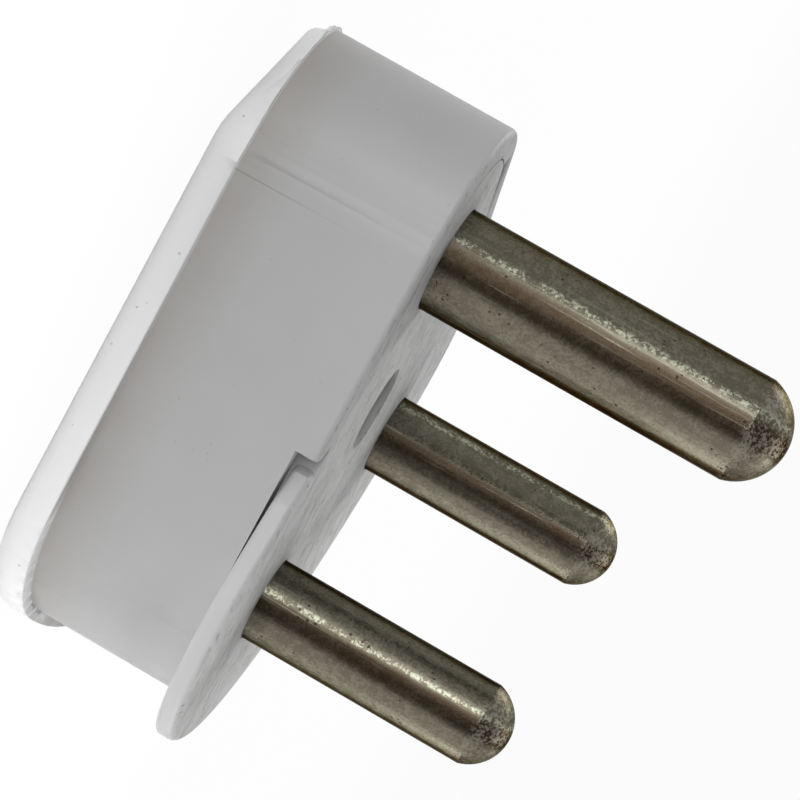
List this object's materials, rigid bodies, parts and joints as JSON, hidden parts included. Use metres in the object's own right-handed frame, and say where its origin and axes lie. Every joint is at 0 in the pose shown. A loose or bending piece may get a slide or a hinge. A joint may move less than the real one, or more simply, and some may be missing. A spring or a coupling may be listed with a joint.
{
  "type": "three-pin plug top",
  "caption": "Rewireable round-pin plug top: white hollow cover with a grip lip, flanged base, plated brass pins and screw terminals, cord clamp inside.",
  "frame": {"origin": "on the flat of the back, under the fixing screw", "axes": "+Z along the pins, +Y towards the earth pin, +X towards the neutral pin"},
  "size_m": [0.0574, 0.057, 0.0484],
  "materials": {
    "white_plastic": "satin moulded plastic",
    "pin_metal": "worn nickel plate over brass",
    "screw_steel": "zinc plated steel",
    "insert_brass": "turned brass",
    "clamp_fibre": "moulded plastic"
  },
  "bodies": {
    "root": {"cover": "white_plastic", "base": "white_plastic", "earth_pin": "pin_metal", "live_pin": "pin_metal", "neutral_pin": "pin_metal", "earth_terminal_screw": "screw_steel", "live_terminal_screw": "screw_steel", "neutral_terminal_screw": "screw_steel", "cord_clamp": "clamp_fibre", "clamp_screw_left": "screw_steel", "clamp_screw_right": "screw_steel", "fixing_screw": "screw_steel", "threaded_insert": "insert_brass"}
  },
  "joints": []
}
